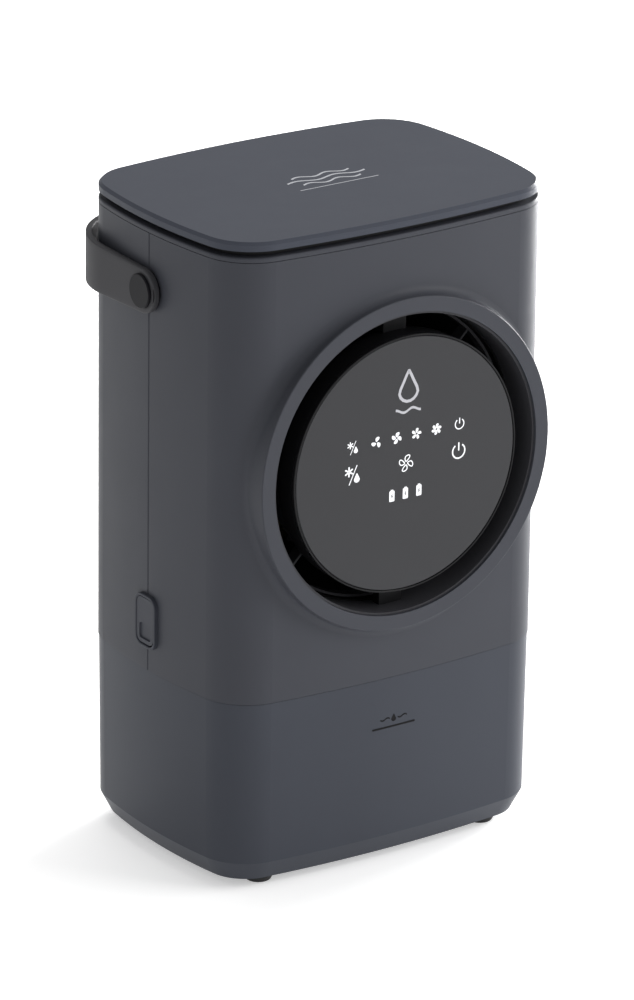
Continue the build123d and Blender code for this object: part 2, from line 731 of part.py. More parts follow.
with BuildPart() as pod_shell:
    with BuildSketch(facing(POD_BACK)):
        Circle(POD_OUTER)
    extrude(amount=POD_BACK - POD_RIM)
    fillet(pod_shell.edges().filter_by(GeomType.CIRCLE).sort_by(Axis.Y)[-1], radius=4)
    # two struts carry the pod in the outlet
    with BuildSketch(facing(POD_BACK - 1)):
        Rectangle(STRUT_WIDTH, 2 * RING_BORE)
        Circle(RING_BORE - 1.35, mode=Mode.INTERSECT)
    extrude(amount=POD_BACK - 1 - STRUT_FRONT)
    with BuildSketch(facing(POD_BACK - 2.5)):
        Circle(POD_INNER)
    extrude(amount=POD_BACK - POD_RIM, mode=Mode.SUBTRACT)
    with BuildSketch(facing(POD_BACK - 2.5)):
        with PolarLocations(50, 3, 90):
            Circle(3)
    extrude(amount=8)
finish(pod_shell, "pod_shell")

with BuildPart() as touch_board:
    with BuildSketch(facing(POD_BACK - 10.5)):
        Circle(59)
    extrude(amount=1.6)
    with BuildSketch(facing(POD_BACK - 10.5)):
        with GridLocations(30, 24, 2, 2):
            Rectangle(8, 8)
    extrude(amount=-2)
finish(touch_board, "touch_board")

with BuildPart() as light_mask:
    with BuildSketch(facing(POD_BACK - 12.1)):
        Circle(62)
    extrude(amount=POD_BACK - 12.1 - POD_RIM)
    with BuildSketch(facing(POD_BACK - 12.1)):
        with GridLocations(12, 14.4, 6, 3):
            Rectangle(7, 8)
    extrude(amount=4, mode=Mode.SUBTRACT)
finish(light_mask, "light_mask")

with BuildPart() as display_bezel:
    with BuildSketch(facing(POD_RIM)):
        Circle(POD_RADIUS)
        Circle(POD_RADIUS - 1.0, mode=Mode.SUBTRACT)
    extrude(amount=POD_RIM - DISPLAY_FRONT + 0.2)
    chamfer(display_bezel.edges().filter_by(GeomType.CIRCLE).group_by(Axis.Y)[0], length=0.25)
finish(display_bezel, "display_bezel")

with BuildPart() as display_glass:
    with BuildSketch(facing(POD_RIM)):
        Circle(POD_RADIUS - 1.3)
    extrude(amount=POD_RIM - DISPLAY_FRONT)
    chamfer(display_glass.edges().filter_by(GeomType.CIRCLE).sort_by(Axis.Y)[0], length=0.3)
finish(display_glass, "display_glass")

# ======================= top: collar, ice tray and lid =======================
COLLAR_INSET = 12.6
TRAY_INSET = 13.0
TRAY_WALL = 1.8
ICE_FLOOR = 316.5

with BuildPart() as top_collar:
    extrude(case_ring(COLLAR_BASE, 0, COLLAR_INSET), amount=COLLAR_TOP - COLLAR_BASE)
    top_edges = top_collar.faces().sort_by(Axis.Z)[-1].outer_wire().edges()
    fillet(top_edges, radius=0.9)
    extrude(case_ring(COLLAR_BASE - 5, WALL + 0.2, WALL + 2), amount=5)
finish(top_collar, "top_collar")

with BuildPart() as ice_tray:
    extrude(case_outline(ICE_FLOOR, TRAY_INSET), amount=COLLAR_TOP - ICE_FLOOR)
    extrude(case_outline(COLLAR_TOP, TRAY_INSET - 4), amount=1.2)
    extrude(
        case_outline(ICE_FLOOR + TRAY_WALL, TRAY_INSET + TRAY_WALL),
        amount=COLLAR_TOP - ICE_FLOOR,
        mode=Mode.SUBTRACT,
    )
    # melt water drains to the drip tray
    with BuildSketch(level(ICE_FLOOR)):
        with Locations((20, 45)):
            with GridLocations(12, 10, 6, 2):
                Circle(1.5)
    extrude(amount=TRAY_WALL, mode=Mode.SUBTRACT)
finish(ice_tray, "ice_tray")

with BuildPart() as lid_plate:
    extrude(case_outline(LID_BASE), amount=LID_TOP - LID_BASE)
    rim = lid_plate.faces().sort_by(Axis.Z)[-1].edges()
    chamfer(rim, length=1.5)
    extrude(case_ring(LID_BASE - 5, TRAY_INSET + 2.6, TRAY_INSET + 4.4), amount=5)
finish(lid_plate, "lid_plate")

with BuildPart() as lid_gasket:
    extrude(case_ring(COLLAR_TOP + 0.1, 5.0, 8.0), amount=LID_BASE - COLLAR_TOP - 0.1)
finish(lid_gasket, "lid_gasket")

# ======================= carry strap =======================
STRAP_OUTER_X = STRAP_INNER_X + STRAP_THICKNESS
STRAP_OPEN_Y = -STRAP_END_RADIUS - 1
STRAP_WIDE_FROM = 60.0


def strap_plan(half_width, reach, shoulder, corner):
    """Closed plan of the strap's inner or outer face, which ends just forward of the pivot."""
    with BuildSketch(level(PIVOT_Z - STRAP_HALF_GRIP - 1)) as plan:
        with BuildLine():
            Line((-half_width, STRAP_OPEN_Y), (half_width, STRAP_OPEN_Y))
            Line((half_width, STRAP_OPEN_Y), (half_width, shoulder))
            ThreePointArc((half_width, shoulder), (0, reach), (-half_width, shoulder))
            Line((-half_width, shoulder), (-half_width, STRAP_OPEN_Y))
        make_face()
        fillet(plan.vertices().sort_by(Axis.Y)[-2:], radius=corner)
    return plan.sketch


with BuildPart() as carry_strap:
    outer_plan = strap_plan(
        STRAP_OUTER_X,
        STRAP_INNER_REACH + STRAP_THICKNESS,
        STRAP_SHOULDER_REACH + STRAP_THICKNESS,
        STRAP_CORNER + STRAP_THICKNESS,
    )
    inner_plan = strap_plan(
        STRAP_INNER_X, STRAP_INNER_REACH, STRAP_SHOULDER_REACH, STRAP_CORNER
    )
    extrude(outer_plan - inner_plan, amount=2 * STRAP_HALF_GRIP + 2)
    # seen from the side it widens from the round pivot ends to the grip
    with BuildSketch(sideways(-STRAP_OUTER_X - 1, PIVOT_Z)):
        Circle(STRAP_END_RADIUS)
        with BuildLine():
            Polyline(
                (0, -STRAP_END_RADIUS),
                (STRAP_WIDE_FROM, -STRAP_HALF_GRIP),
                (STRAP_OUTER_X, -STRAP_HALF_GRIP),
                (STRAP_OUTER_X, STRAP_HALF_GRIP),
                (STRAP_WIDE_FROM, STRAP_HALF_GRIP),
                (0, STRAP_END_RADIUS),
                close=True,
            )
        make_face()
    extrude(amount=2 * STRAP_OUTER_X + 2, mode=Mode.INTERSECT)
    with BuildSketch(sideways(-STRAP_OUTER_X - 1, PIVOT_Z)):
        Circle(PIN_HOLE)
    extrude(amount=2 * STRAP_OUTER_X + 2, mode=Mode.SUBTRACT)
finish(carry_strap, "carry_strap")

CAP_RADIUS = 8.8
CAP_GAP = 0.25
CAP_THICKNESS = 1.4
WASHER_THICKNESS = 0.6
PIN_LENGTH = 8.0

with BuildPart() as pivot_pins:
    for side in (-1, 1):
        cap_face = side * (STRAP_OUTER_X + CAP_GAP)
        with BuildSketch(sideways(cap_face, PIVOT_Z)):
            Circle(CAP_RADIUS)
        extrude(amount=side * CAP_THICKNESS)
        with BuildSketch(sideways(cap_face, PIVOT_Z)):
            Circle(PIN_RADIUS)
        extrude(amount=-side * (STRAP_THICKNESS + PIN_LENGTH))
    outer_rims = (
        pivot_pins.edges().filter_by(GeomType.CIRCLE).group_by(Axis.X)[0]
        + pivot_pins.edges().filter_by(GeomType.CIRCLE).group_by(Axis.X)[-1]
    )
    chamfer(outer_rims, length=0.5)
finish(pivot_pins, "pivot_pins")

with BuildPart() as pivot_washers:
    for side in (-1, 1):
        with BuildSketch(sideways(side * (HALF_WIDTH + 0.1), PIVOT_Z)):
            Circle(10.2)
            Circle(PIN_HOLE, mode=Mode.SUBTRACT)
        extrude(amount=side * WASHER_THICKNESS)
finish(pivot_washers, "pivot_washers")

# ======================= latches =======================
LATCH_FACE = HALF_WIDTH + LATCH_PROUD
FRAME_BACK = 94.0
PLATE_BACK = 99.6
PLATE_FACE = 101.6
ARM_WIDTH = 7.0
LATCH_PIN_RADIUS = 0.8

with BuildPart() as latch_frames:
    for side in (-1, 1):
        with BuildSketch(sideways(side * FRAME_BACK, LATCH_Z)):
            RectangleRounded(LATCH_WIDTH, LATCH_HEIGHT, 5.5)
        extrude(amount=side * (LATCH_FACE - FRAME_BACK))
        with BuildSketch(sideways(side * FRAME_BACK, LATCH_Z)):
            RectangleRounded(LATCH_WIDTH - 2 * LATCH_RIM, LATCH_HEIGHT - 2 * LATCH_RIM, 4)
        extrude(amount=side * (LATCH_FACE - FRAME_BACK), mode=Mode.SUBTRACT)
        # back wall that the spring leans on
        with BuildSketch(sideways(side * FRAME_BACK, LATCH_Z - 8.0)):
            Rectangle(LATCH_WIDTH - 2 * LATCH_RIM + 1, 9)
        extrude(amount=side * 1.2)
    faces = latch_frames.faces().filter_by(Axis.X)
    front_rims = faces.sort_by(Axis.X)[0].edges() + faces.sort_by(Axis.X)[-1].edges()
    chamfer(front_rims, length=0.35)
    with BuildSketch(facing(LATCH_WIDTH / 2 - 0.5, LATCH_PIN_Z)):
        with Locations((-LATCH_PIN_X, 0), (LATCH_PIN_X, 0)):
            Circle(LATCH_PIN_RADIUS)
    extrude(amount=LATCH_WIDTH - 1, mode=Mode.SUBTRACT)
finish(latch_frames, "latch_frames")

with BuildPart() as latch_pins:
    with BuildSketch(facing(LATCH_WIDTH / 2 - 0.5, LATCH_PIN_Z)):
        with Locations((-LATCH_PIN_X, 0), (LATCH_PIN_X, 0)):
            Circle(LATCH_PIN_RADIUS)
    extrude(amount=LATCH_WIDTH - 1)
finish(latch_pins, "latch_pins")

PLATE_HEIGHT = 24.0
PLATE_Z = LATCH_Z + (LATCH_HEIGHT - 2 * LATCH_RIM - PLATE_HEIGHT) / 2 - LATCH_GAP
ARM_BACK = 89.5
ARM_FRONT = 91.5
NOSE_TIP = 94.8
NOSE_BASE = 94.0


def latch_button(side):
    """Rocking latch: finger plate, lug on the pin, arm and nose."""
    with BuildPart() as button:
        with BuildSketch(sideways(side * PLATE_BACK, PLATE_Z)):
            RectangleRounded(
                LATCH_WIDTH - 2 * LATCH_RIM - 2 * LATCH_GAP, PLATE_HEIGHT, 4 - LATCH_GAP
            )
        extrude(amount=side * (PLATE_FACE - PLATE_BACK))
        with BuildSketch(section(ARM_WIDTH / 2)):
            with BuildLine():
                Polyline(
                    (side * PLATE_BACK, LATCH_PIN_Z + 2.4),
                    (side * ARM_BACK, LATCH_PIN_Z + 2.4),
                    (side * ARM_BACK, NOSE_BASE),
                    (side * (ARM_FRONT + 1), NOSE_BASE),
                    (side * NOSE_TIP, NOSE_BASE + 2.2),
                    (side * NOSE_TIP, NOSE_BASE + 3.2),
                    (side * ARM_FRONT, NOSE_BASE + 3.2),
                    (side * ARM_FRONT, LATCH_PIN_Z - 1.6),
                    (side * PLATE_BACK, LATCH_PIN_Z - 2.4),
                    close=True,
                )
            make_face()
        extrude(amount=ARM_WIDTH)
        # dished thumb recess in the lower half
        with BuildSketch(sideways(side * PLATE_FACE, LATCH_Z - 5.7)):
            RectangleRounded(10.1, 8.3, 1.6)
        extrude(amount=-side * 0.9, taper=20, mode=Mode.SUBTRACT)
        with BuildSketch(facing(ARM_WIDTH / 2 + 1, LATCH_PIN_Z)):
            with Locations((side * LATCH_PIN_X, 0)):
                Circle(LATCH_PIN_RADIUS + 0.05)
        extrude(amount=ARM_WIDTH + 2, mode=Mode.SUBTRACT)
    return button


def latch_spring(side):
    """Bent strip spring between the frame's back wall and the finger plate."""
    with BuildPart() as spring:
        with BuildSketch(section(2.5)):
            with BuildLine():
                Polyline(
                    (side * (FRAME_BACK + 1.4), 107.0),
                    (side * (PLATE_BACK - 0.3), 109.8),
                    (side * (FRAME_BACK + 1.4), 112.6),
                )
            trace(line_width=0.35)
        extrude(amount=5)
    return spring


for side, name in ((-1, "left"), (1, "right")):
    finish(latch_button(side), f"latch_button_{name}")
    finish(latch_spring(side), f"latch_spring_{name}")
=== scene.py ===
# %% [markdown]
# # A portable evaporative air cooler
# The cooler stands on a table. Its lower quarter is a water tank. A pump lifts the water to
# a wick pad inside the housing, and a fan blows air through the wet pad and out of the
# round outlet in front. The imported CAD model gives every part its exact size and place,
# so this lesson only adds what CAD leaves plain: finishes, printed symbols and soft parts.

# %% Load the frame
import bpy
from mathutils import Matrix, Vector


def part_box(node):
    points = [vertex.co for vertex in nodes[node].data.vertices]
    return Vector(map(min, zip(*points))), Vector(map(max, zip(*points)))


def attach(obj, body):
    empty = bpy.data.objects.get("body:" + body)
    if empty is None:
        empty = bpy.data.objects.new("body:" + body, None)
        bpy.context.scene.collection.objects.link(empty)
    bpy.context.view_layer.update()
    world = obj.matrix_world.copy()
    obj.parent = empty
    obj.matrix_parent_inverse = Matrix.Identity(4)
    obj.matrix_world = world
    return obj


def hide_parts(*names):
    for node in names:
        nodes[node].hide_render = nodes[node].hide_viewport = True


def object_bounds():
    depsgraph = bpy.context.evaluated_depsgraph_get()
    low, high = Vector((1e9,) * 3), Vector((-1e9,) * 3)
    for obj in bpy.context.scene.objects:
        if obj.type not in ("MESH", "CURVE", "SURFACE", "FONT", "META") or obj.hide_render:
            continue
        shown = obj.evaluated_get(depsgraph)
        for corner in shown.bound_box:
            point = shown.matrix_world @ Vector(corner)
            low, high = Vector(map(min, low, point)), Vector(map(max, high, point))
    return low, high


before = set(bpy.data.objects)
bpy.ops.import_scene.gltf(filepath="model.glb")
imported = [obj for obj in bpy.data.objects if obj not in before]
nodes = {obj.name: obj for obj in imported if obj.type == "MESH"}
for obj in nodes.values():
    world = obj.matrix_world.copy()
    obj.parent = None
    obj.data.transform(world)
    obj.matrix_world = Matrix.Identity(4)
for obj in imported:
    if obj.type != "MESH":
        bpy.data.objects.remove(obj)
cad_low, cad_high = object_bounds()
print("the CAD box runs from", tuple(cad_low), "to", tuple(cad_high))

# %% Modules and units
from math import atan2, cos, pi, radians, sin, tau

import bmesh
import bpy
from mathutils import Matrix, Vector

MM = 0.001
scene = bpy.context.scene
middle_y = (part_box("lid_plate")[0].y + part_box("lid_plate")[1].y) / 2
print(len(nodes), "CAD nodes; the case axis is at y =", round(middle_y / MM, 2), "mm")

# %% [markdown]
# ## The camera
# A product picture is taken from far away with a long lens, so that upright edges stay
# nearly parallel. The camera is set like a tripod: how far round it stands, how high it
# looks from, how far away it is, and the small roll that the tripod head has.

# %% Camera
AIM = Vector((1.22 * MM, middle_y, 170.2 * MM))
AZIMUTH = radians(-34.87)
ELEVATION = radians(20.65)
ROLL = radians(0.75)
DISTANCE = 3.33
LENS = 239.5

back = Vector((
    sin(AZIMUTH) * cos(ELEVATION),
    -cos(AZIMUTH) * cos(ELEVATION),
    sin(ELEVATION),
))
level_right = Vector((0, 0, 1)).cross(back).normalized()
level_up = back.cross(level_right)
right = level_right * cos(ROLL) + level_up * sin(ROLL)
up = level_up * cos(ROLL) - level_right * sin(ROLL)

camera_data = bpy.data.cameras.new("studio_camera")
camera_data.lens = LENS
camera = bpy.data.objects.new("studio_camera", camera_data)
camera.matrix_world = Matrix.Translation(AIM + back * DISTANCE) @ (
    Matrix((right, up, back)).transposed().to_4x4()
)
scene.collection.objects.link(camera)
scene.camera = camera
print("the camera stands at", tuple(round(v, 3) for v in camera.matrix_world.translation))

# %% [markdown]
# ## Studio: floor and light
# Dark satin plastic shows its form through what it reflects. Large soft boxes give broad
# gradients: one high on the left for the side, one on the right for the front, a narrow
# one behind for the bright line down the far edge, and a wide one overhead for the lid.
# The pale floor throws light back up under the chamfer of the tank.

# %% Floor, world and soft boxes
FLOOR_SIZE = 24.0
scene.view_settings.view_transform = "Standard"

floor_mesh = bpy.data.meshes.new("studio_floor")
floor_shape = bmesh.new()
bmesh.ops.create_grid(floor_shape, x_segments=2, y_segments=2, size=FLOOR_SIZE / 2)
floor_shape.to_mesh(floor_mesh)
floor_shape.free()
floor = bpy.data.objects.new("studio_floor", floor_mesh)
scene.collection.objects.link(floor)

world = bpy.data.worlds.new("studio_air")
world.use_nodes = True
world.node_tree.nodes["Background"].inputs["Color"].default_value = (1.0, 1.0, 1.0, 1)
world.node_tree.nodes["Background"].inputs["Strength"].default_value = 0.5
scene.world = world


def soft_box(name, azimuth, elevation, distance, width, height, power, colour=(1, 1, 1)):
    """Rectangular lamp that looks at the object from a direction given in degrees."""
    turn, lift = radians(azimuth), radians(elevation)
    away = Vector((sin(turn) * cos(lift), -cos(turn) * cos(lift), sin(lift)))
    lamp_data = bpy.data.lights.new(name, "AREA")
    lamp_data.shape = "RECTANGLE"
    lamp_data.size = width
    lamp_data.size_y = height
    lamp_data.energy = power
    lamp_data.color = colour
    lamp = bpy.data.objects.new(name, lamp_data)
    lamp.location = AIM + away * distance
    lamp.rotation_euler = away.to_track_quat("Z", "Y").to_euler()
    scene.collection.objects.link(lamp)
    return lamp


soft_box(
    "side_light", azimuth=-60, elevation=30, distance=2.2, width=1.6, height=1.8, power=1.2
)
soft_box(
    "front_light", azimuth=50, elevation=25, distance=2.4, width=1.4, height=1.8, power=36
)
soft_box(
    "edge_light", azimuth=108, elevation=5, distance=1.6, width=0.8, height=0.7, power=62
)
soft_box(
    "lid_light", azimuth=150, elevation=65, distance=2.2, width=1.8, height=1.4, power=21
)
print("studio ready")

# %% [markdown]
# ## A small language for finishes
# A material is a network of nodes. Written link by link it is hard to read, so two small
# classes help. A Signal is one socket that knows arithmetic: adding or multiplying it
# makes the Math node. A Finish is one material: its single node method takes a node's
# type, its settings and what goes into its sockets. With them a finish reads as a formula.

# %% Signal and Finish
class Signal:
    """One value that varies over a surface. Its operators add Math nodes."""

    def __init__(self, finish, socket):
        self.finish = finish
        self.socket = socket

    def math(self, operation, *inputs):
        """A Math node of this operation, fed with the inputs in order."""
        return self.finish.node("ShaderNodeMath", {"operation": operation}, dict(enumerate(inputs)))

    def __add__(self, other):
        return self.math("ADD", self, other)

    def __sub__(self, other):
        return self.math("SUBTRACT", self, other)

    def __mul__(self, other):
        return self.math("MULTIPLY", self, other)

    def __radd__(self, other):
        return self.math("ADD", other, self)

    def __rsub__(self, other):
        return self.math("SUBTRACT", other, self)

    def __rmul__(self, other):
        return self.math("MULTIPLY", other, self)

    def above(self, edge, softness):
        """1 where the value is over the edge and 0 under it, with a soft step between."""
        return self.finish.node(
            "ShaderNodeMapRange",
            {"interpolation_type": "SMOOTHSTEP"},
            {"Value": self, "From Min": edge - softness, "From Max": edge + softness},
        )


class Finish:
    """One procedural material, named after the finish of a real piece."""

    def __init__(self, name, **constants):
        self.material = bpy.data.materials.new(name)
        self.material.use_nodes = True
        self.tree = self.material.node_tree
        self.shader = self.tree.nodes["Principled BSDF"]
        for socket, value in constants.items():
            self.shader.inputs[socket.replace("_", " ")].default_value = value

    def plug(self, socket, value):
        """Links a Signal into a socket, or sets a plain number or colour."""
        if isinstance(value, Signal):
            self.tree.links.new(value.socket, socket)
        elif isinstance(value, tuple) and len(value) == 3 and socket.type == "RGBA":
            socket.default_value = (*value, 1)
        else:
            socket.default_value = value

    def node(self, kind, settings=None, sockets=None, output=0):
        """Adds a node: settings first, then its sockets. Returns one output as a Signal."""
        made = self.tree.nodes.new(kind)
        for name, value in (settings or {}).items():
            setattr(made, name, value)
        for name, value in (sockets or {}).items():
            self.plug(made.inputs[name], value)
        return Signal(self, made.outputs[output])

    def place(self, scale=(1, 1, 1)):
        """Object coordinates in metres, stretched by a scale."""
        spot = self.node("ShaderNodeTexCoord", output="Object")
        return self.node("ShaderNodeMapping", None, {"Vector": spot, "Scale": scale})

    def noise(self, size, detail=2.0, roughness=0.5, stretch=(1, 1, 1)):
        """Noise between 0 and 1 whose grains are about this size in metres."""
        return self.node(
            "ShaderNodeTexNoise",
            None,
            {
                "Vector": self.place(stretch),
                "Scale": 1 / size,
                "Detail": detail,
                "Roughness": roughness,
            },
        )

    def tint(self, amount, low, high):
        """Colour between two tints, chosen by a Signal."""
        return self.node(
            "ShaderNodeMix", {"data_type": "RGBA"}, {0: amount, 6: low, 7: high}, output=2
        )

    def wear(self, **varying):
        """Feeds the shader's varying sockets, then hands the material over."""
        for socket, value in varying.items():
            self.plug(self.shader.inputs[socket.replace("_", " ")], value)
        return self.material

    def relief(self, height, depth, strength=1.0):
        """Bump of a height Signal, whose full range is this deep in metres."""
        return self.node(
            "ShaderNodeBump", None, {"Height": height, "Distance": depth, "Strength": strength}
        )


print("finish tools ready")

# %% [markdown]
# ## Studio floor
# Paper backdrop: nearly white, very matte, with faint cloudiness. It glows a little, as a
# backdrop that is lit from behind does, so that the shadow under the cooler stays soft.

# %% Floor finish
backdrop = Finish("studio_paper", Roughness=0.95, Emission_Strength=0.42)
cloud = backdrop.noise(0.9, detail=1.0)
floor_mesh.materials.append(backdrop.wear(
    Base_Color=backdrop.tint(cloud, (0.86, 0.86, 0.86), (0.89, 0.89, 0.89)),
    Emission_Color=backdrop.tint(cloud, (0.97, 0.97, 0.97), (1.0, 1.0, 1.0)),
))

# %% [markdown]
# ## Moulded plastic
# The shells are injection moulded in a dark grey with a hint of blue. The mould was
# spark-eroded, so the skin has a fine even grain that turns gloss into a satin sheen.
# Hands polish it a little, in large faint patches. Four sizes of noise say all this:
# the grain is bump, the patches are roughness, and a slow drift changes the tint.

# %% Moulded finishes
GRAIN_SIZE = 0.32 * MM
GRAIN_DEPTH = 0.02 * MM


def shade(colour, factor):
    """A colour made lighter or darker."""
    return tuple(channel * factor for channel in colour)


def moulded(
    name, colour, roughness, grain_size=GRAIN_SIZE, grain_depth=GRAIN_DEPTH, **constants
):
    """Satin moulded plastic: spark-eroded grain, faint polish patches and drifting tint."""
    finish = Finish(name, **{"IOR": 1.46, "Specular_IOR_Level": 0.15, **constants})
    grain = finish.noise(grain_size, detail=3.0)
    drift = finish.noise(60 * MM, detail=2.0)
    polish = finish.noise(24 * MM, detail=4.0, roughness=0.6)
    dust = finish.noise(1.1 * MM, detail=2.0).above(0.72, 0.06)
    mix = drift * 0.7 + grain * 0.3
    skin = finish.tint(mix, shade(colour, 0.93), shade(colour, 1.07))
    return finish.wear(
        Base_Color=finish.tint(dust * 0.25, skin, shade(colour, 1.25)),
        Roughness=polish * 0.10 + grain * 0.06 + (roughness - 0.08),
        Normal=finish.relief(grain, grain_depth),
    )


case_finish = moulded("case_plastic", (0.0475, 0.0500, 0.0600), 0.46)
# The lid's grey is a little lighter and bluer than the case's. Part of that is the lid's own tint
# and part is painted light: the bluish light that falls on the top.
lid_finish_with_painted_top_light = moulded("lid_plastic", (0.048, 0.053, 0.069), 0.42)
latch_finish = moulded("latch_plastic", (0.042, 0.045, 0.056), 0.43)
cap_finish = moulded("pivot_cap_plastic", (0.006, 0.006, 0.008), 0.45, Specular_IOR_Level=0.13)
# The duct and the fan shroud are set almost black, darker than moulded plastic: this paints the
# deep shade inside the outlet.
duct_finish_painted_shade = moulded("duct_plastic", (0.002, 0.002, 0.002), 0.75, Specular_IOR_Level=0.1)
liner_finish = moulded("liner_plastic", (0.04, 0.04, 0.045), 0.5)
strut_finish = moulded("pod_plastic", (0.006, 0.006, 0.007), 0.5)
inner_finish = moulded("inner_plastic", (0.05, 0.05, 0.053), 0.55)
fan_finish = moulded("fan_plastic", (0.03, 0.03, 0.033), 0.45)
pump_finish = moulded("pump_plastic", (0.32, 0.33, 0.34), 0.5)
print("moulded finishes made")

# %% [markdown]
# ## Smoked tank plastic
# The tank is moulded in the same grey, but from a clear resin with smoke in it and a
# smoother mould, so it is glossier and its walls show slow cloudy flow marks. Fine
# upright scuffs come from sliding the tank in and out.

# %% Tank finish
def smoked_tank():
    """Glossy smoky plastic with cloudy flow and fine upright scuffs."""
    finish = Finish("tank_plastic", IOR=1.49, Specular_IOR_Level=0.1)
    flow = finish.noise(70 * MM, detail=3.0, stretch=(1, 1, 0.45))
    grain = finish.noise(0.5 * MM, detail=2.0)
    scuffs = finish.noise(3 * MM, detail=3.0, stretch=(6, 6, 0.25)).above(0.66, 0.05)
    return finish.wear(
        Base_Color=finish.tint(flow, (0.041, 0.0445, 0.055), (0.047, 0.052, 0.066)),
        Roughness=flow * 0.08 + scuffs * 0.06 + grain * 0.05 + 0.36,
        Coat_Weight=flow * 0.08 + 0.02,
        Normal=finish.relief(grain, 0.008 * MM),
    )


tank_finish = smoked_tank()

# %% [markdown]
# ## Display, strap, seals, metal and the rest
# The display is a dead-front panel: dark smoked acrylic with a fine matte coat, which
# hides its lamps until they light. The strap is soft rubber with a dull skin. Screws and
# the shaft are bright steel with turned or drawn marks, and the circuit boards are green
# with a weave that just shows through the lacquer.

# %% Panel and soft finishes
def panel_coat():
    """Matte coated dark acrylic with the finest sparkle."""
    finish = Finish("display_panel", IOR=1.45, Specular_IOR_Level=0.3)
    sparkle = finish.noise(0.25 * MM, detail=1.0)
    haze = finish.noise(35 * MM, detail=2.0)
    return finish.wear(
        Base_Color=finish.tint(haze, (0.025, 0.0252, 0.028), (0.029, 0.0294, 0.0325)),
        Roughness=haze * 0.06 + sparkle * 0.05 + 0.46,
        Normal=finish.relief(sparkle, 0.006 * MM),
    )


def rubber(name, colour, roughness):
    """Dull rubber with a pitted skin and pale bloom in patches."""
    finish = Finish(name, IOR=1.5, Specular_IOR_Level=0.25)
    pits = finish.noise(0.45 * MM, detail=3.0)
    bloom = finish.noise(18 * MM, detail=4.0, roughness=0.65)
    return finish.wear(
        Base_Color=finish.tint(bloom, shade(colour, 0.92), shade(colour, 1.1)),
        Roughness=roughness + bloom * 0.08 + pits * 0.05,
        Normal=finish.relief(pits, 0.03 * MM),
    )


panel_finish = panel_coat()
bezel_finish = moulded("display_trim", (0.008, 0.008, 0.009), 0.25, 0.4 * MM, 0.004 * MM)
strap_finish = rubber("strap_rubber", (0.038, 0.038, 0.042), 0.55)
seal_finish = rubber("seal_rubber", (0.018, 0.018, 0.019), 0.6)

# %% Metal, board, cell and cloth finishes
def steel(name, colour, roughness, stretch):
    """Bright steel with drawn marks along one direction."""
    finish = Finish(name)
    marks = finish.noise(0.6 * MM, detail=4.0, stretch=stretch)
    stain = finish.noise(9 * MM, detail=3.0)
    return finish.wear(
        Base_Color=finish.tint(stain, shade(colour, 0.88), colour),
        Metallic=stain * 0.05 + 0.95,
        Roughness=roughness + marks * 0.16,
        Normal=finish.relief(marks, 0.01 * MM),
    )


def circuit_board():
    """Green lacquer over glass weave, with copper tracks that show as paler lines."""
    finish = Finish("circuit_board", IOR=1.5)
    weave = finish.node(
        "ShaderNodeTexWave",
        {"wave_type": "BANDS", "bands_direction": "DIAGONAL"},
        {"Vector": finish.place(), "Scale": 160.0, "Distortion": 3.0},
        output="Fac",
    )
    tracks = finish.node(
        "ShaderNodeTexVoronoi",
        {"feature": "DISTANCE_TO_EDGE"},
        {"Vector": finish.place(), "Scale": 240.0},
        output="Distance",
    ).above(0.07, 0.02)
    return finish.wear(
        Base_Color=finish.tint(tracks, (0.03, 0.20, 0.08), (0.012, 0.10, 0.045)),
        Roughness=weave * 0.12 + 0.28,
        Normal=finish.relief(weave + tracks, 0.01 * MM),
    )


def cell_wrap():
    """Shrink-wrapped cell: glossy film with fine stretch lines."""
    finish = Finish("cell_wrap", IOR=1.5)
    stretch_lines = finish.noise(1.5 * MM, detail=2.0, stretch=(0.2, 3, 3))
    return finish.wear(
        Base_Color=finish.tint(stretch_lines, (0.035, 0.16, 0.38), (0.05, 0.2, 0.46)),
        Roughness=stretch_lines * 0.15 + 0.22,
        Normal=finish.relief(stretch_lines, 0.02 * MM),
    )


def woven(name, pitch, thread, gap):
    """Fine square mesh: threads crossing at a pitch, in XZ, with dark gaps between."""
    finish = Finish(name, IOR=1.45)
    lines = [
        finish.node(
            "ShaderNodeTexWave",
            {"wave_type": "BANDS", "bands_direction": direction},
            {"Vector": finish.place(), "Scale": pi / (10 * pitch)},
            output="Fac",
        )
        for direction in ("X", "Z")
    ]
    threads = lines[0].math("MAXIMUM", *lines)
    fuzz = finish.noise(0.3 * MM, detail=2.0)
    return finish.wear(
        Base_Color=finish.tint(threads.above(0.75, 0.15), gap, thread),
        Roughness=fuzz * 0.2 + 0.6,
        Normal=finish.relief(threads, 0.3 * MM),
    )


def paper_wick():
    """Resin-stiffened cellulose: pale, fibrous, stained where minerals settle."""
    finish = Finish("wick_paper", IOR=1.4)
    fibres = finish.noise(0.8 * MM, detail=4.0, stretch=(1, 1, 0.3))
    stain = finish.noise(30 * MM, detail=3.0).above(0.55, 0.2)
    return finish.wear(
        Base_Color=finish.tint(stain, (0.62, 0.56, 0.42), (0.50, 0.42, 0.28)),
        Roughness=fibres * 0.15 + 0.75,
        Normal=finish.relief(fibres, 0.15 * MM),
    )


screw_finish = steel("bright_steel", (0.58, 0.58, 0.59), 0.28, (1, 0.2, 1))
motor_finish = steel("motor_can", (0.5, 0.5, 0.51), 0.32, (3, 0.3, 3))
board_finish = circuit_board()
cell_finish = cell_wrap()
filter_finish = woven("filter_mesh", 1.2 * MM, (0.07, 0.07, 0.072), (0.01, 0.01, 0.01))
wick_finish = paper_wick()
print(len(bpy.data.materials), "materials so far")

# %% [markdown]
# ## Dress the CAD nodes
# Each carried-over part gets its finish in its own material slots. The mesh itself is
# never touched: its place and size belong to the CAD.

